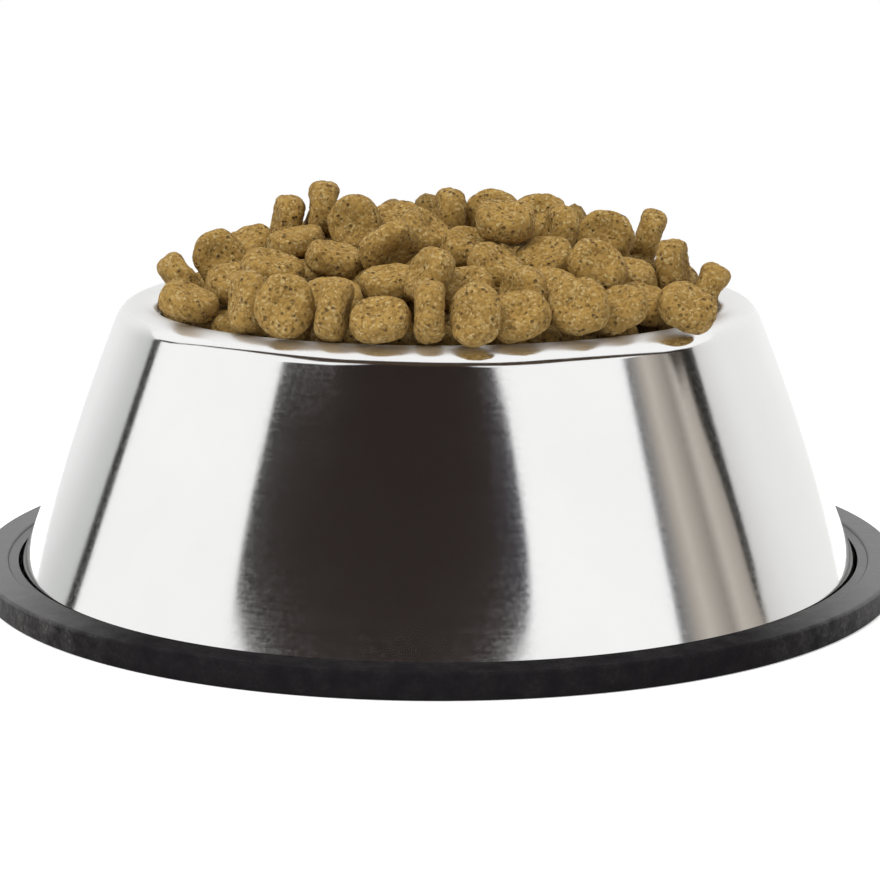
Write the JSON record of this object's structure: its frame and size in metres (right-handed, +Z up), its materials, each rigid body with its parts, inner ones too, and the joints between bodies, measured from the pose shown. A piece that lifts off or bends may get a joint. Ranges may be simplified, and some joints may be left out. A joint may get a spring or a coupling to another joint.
{
  "type": "filled pet bowl",
  "caption": "Round stainless non-tip pet bowl with a flared skirt on a black rubber ring, heaped with disc-shaped dry kibble.",
  "frame": {"origin": "on the floor under the bowl's axis, in the plane of the rubber ring's underside", "axes": "+Z up along the bowl's axis, +X to the right and -Y to the front as the picture shows it"},
  "size_m": [0.205, 0.205, 0.0874],
  "materials": {
    "steel": "polished",
    "rubber": "matte",
    "kibble": "dry baked crumb"
  },
  "bodies": {
    "root": {"bowl": "steel", "rubber_ring": "rubber", "kibble_fill": "kibble", "kibble_01": "kibble", "kibble_02": "kibble", "kibble_03": "kibble", "kibble_04": "kibble", "kibble_05": "kibble", "kibble_06": "kibble", "kibble_07": "kibble", "kibble_08": "kibble", "kibble_09": "kibble", "kibble_10": "kibble", "kibble_11": "kibble", "kibble_12": "kibble", "kibble_13": "kibble", "kibble_14": "kibble", "kibble_15": "kibble", "kibble_16": "kibble", "kibble_17": "kibble", "kibble_18": "kibble", "kibble_19": "kibble", "kibble_20": "kibble", "kibble_21": "kibble", "kibble_22": "kibble", "kibble_23": "kibble", "kibble_24": "kibble", "kibble_25": "kibble", "kibble_26": "kibble", "kibble_27": "kibble", "kibble_28": "kibble", "kibble_29": "kibble", "kibble_30": "kibble", "kibble_31": "kibble", "kibble_32": "kibble", "kibble_33": "kibble", "kibble_34": "kibble", "kibble_35": "kibble", "kibble_36": "kibble", "kibble_37": "kibble", "kibble_38": "kibble", "kibble_39": "kibble", "kibble_40": "kibble", "kibble_41": "kibble", "kibble_42": "kibble", "kibble_43": "kibble", "kibble_44": "kibble", "kibble_45": "kibble"}
  },
  "joints": []
}
